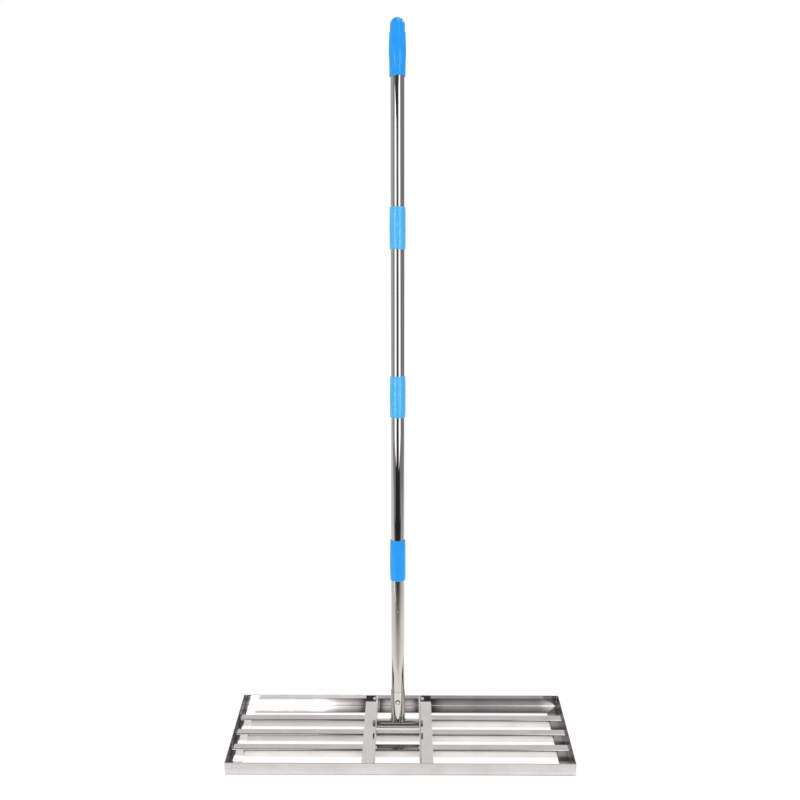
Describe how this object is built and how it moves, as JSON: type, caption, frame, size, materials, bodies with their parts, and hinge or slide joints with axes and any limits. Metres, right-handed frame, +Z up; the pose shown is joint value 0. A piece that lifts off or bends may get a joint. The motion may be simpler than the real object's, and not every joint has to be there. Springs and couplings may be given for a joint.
{
  "type": "lawn leveling rake",
  "caption": "Flat open rake head of steel angle and cross slats on a pivoting yoke, with a long tubular handle of screwed sections, blue collars and a grip.",
  "frame": {"origin": "middle of the flat sole of the front rail, on the ground", "axes": "+X along the head, -Y to the front, which the user faces, +Z up"},
  "size_m": [0.762, 0.4393, 1.5775],
  "materials": {
    "head_steel": "rolled and polished stainless sheet",
    "pole_steel": "mirror polished stainless tube",
    "zinc_fasteners": "zinc plated",
    "blue_plastic": "glossy moulded",
    "black_nylon": "moulded"
  },
  "bodies": {
    "head": {"front_rail": "head_steel", "rear_rail": "head_steel", "left_rail": "head_steel", "right_rail": "head_steel", "front_slat": "head_steel", "middle_slat": "head_steel", "rear_slat_left": "head_steel", "rear_slat_right": "head_steel", "left_yoke": "head_steel", "right_yoke": "head_steel", "pivot_bolt": "zinc_fasteners", "pivot_nut": "zinc_fasteners", "pivot_washers": "zinc_fasteners"},
    "lower_section": {"pivot_tube": "head_steel", "pivot_bushes": "black_nylon", "socket": "head_steel", "socket_rivet": "head_steel", "lower_tube": "pole_steel", "lower_collar": "blue_plastic"},
    "lower_thread": {"lower_plug": "black_nylon"},
    "second_section": {"second_tube": "pole_steel", "middle_collar": "blue_plastic"},
    "middle_thread": {"middle_plug": "black_nylon"},
    "third_section": {"third_tube": "pole_steel", "upper_collar": "blue_plastic"},
    "upper_thread": {"upper_plug": "black_nylon"},
    "top_section": {"upper_tube": "pole_steel", "grip": "blue_plastic"}
  },
  "joints": [
    {"name": "handle_pivot", "type": "hinge", "parent": "head", "child": "lower_section", "pos_m": [-0.006, 0.112, 0.0385], "axis": [-1, 0, 0], "range_deg": [-95, 74]},
    {"name": "lower_thread_lift", "type": "slide", "parent": "lower_section", "child": "lower_thread", "axis": [0, 0.1891, 0.982], "range_m": [0, 0.025]},
    {"name": "lower_thread_turn", "type": "hinge", "parent": "lower_thread", "child": "second_section", "pos_m": [-0.006, 0.112, 0.0385], "axis": [0, 0.1891, 0.982], "range_deg": [0, 1800]},
    {"name": "middle_thread_lift", "type": "slide", "parent": "second_section", "child": "middle_thread", "axis": [0, 0.1891, 0.982], "range_m": [0, 0.025]},
    {"name": "middle_thread_turn", "type": "hinge", "parent": "middle_thread", "child": "third_section", "pos_m": [-0.006, 0.112, 0.0385], "axis": [0, 0.1891, 0.982], "range_deg": [0, 1800]},
    {"name": "upper_thread_lift", "type": "slide", "parent": "third_section", "child": "upper_thread", "axis": [0, 0.1891, 0.982], "range_m": [0, 0.025]},
    {"name": "upper_thread_turn", "type": "hinge", "parent": "upper_thread", "child": "top_section", "pos_m": [-0.006, 0.112, 0.0385], "axis": [0, 0.1891, 0.982], "range_deg": [0, 1800]}
  ],
  "couplings": [
    {"joint": "lower_thread_lift", "follows": "lower_thread_turn", "m_per_rad": 0.00079577},
    {"joint": "middle_thread_lift", "follows": "middle_thread_turn", "m_per_rad": 0.00079577},
    {"joint": "upper_thread_lift", "follows": "upper_thread_turn", "m_per_rad": 0.00079577}
  ]
}
